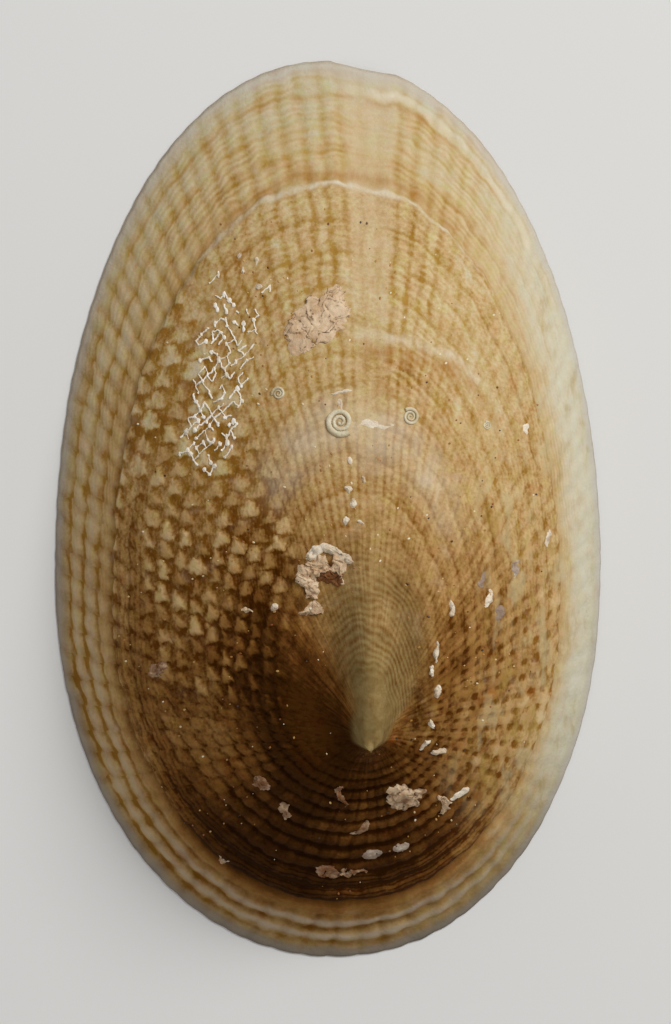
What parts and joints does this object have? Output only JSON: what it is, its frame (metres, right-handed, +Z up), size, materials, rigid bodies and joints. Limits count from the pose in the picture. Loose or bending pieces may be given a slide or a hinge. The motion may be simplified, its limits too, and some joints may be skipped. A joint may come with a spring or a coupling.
{
  "type": "slit limpet shell",
  "caption": "Oval cap-shaped seashell with radial ribs crossed by growth cords, a hooked apex near the back, a shallow front notch and a hollow underside.",
  "frame": {"origin": "on the surface the rim rests on, under the middle of the shell's length and width", "axes": "+Z up out of the hollow towards the crown, +Y along the length to the notched front end, +X to the right seen from above with the front end away from the viewer"},
  "size_m": [0.0366, 0.06, 0.016],
  "materials": {
    "weathered_shell": "matt weathered shell, cream beads on golden brown"
  },
  "bodies": {
    "root": {"shell": "weathered_shell"}
  },
  "joints": []
}
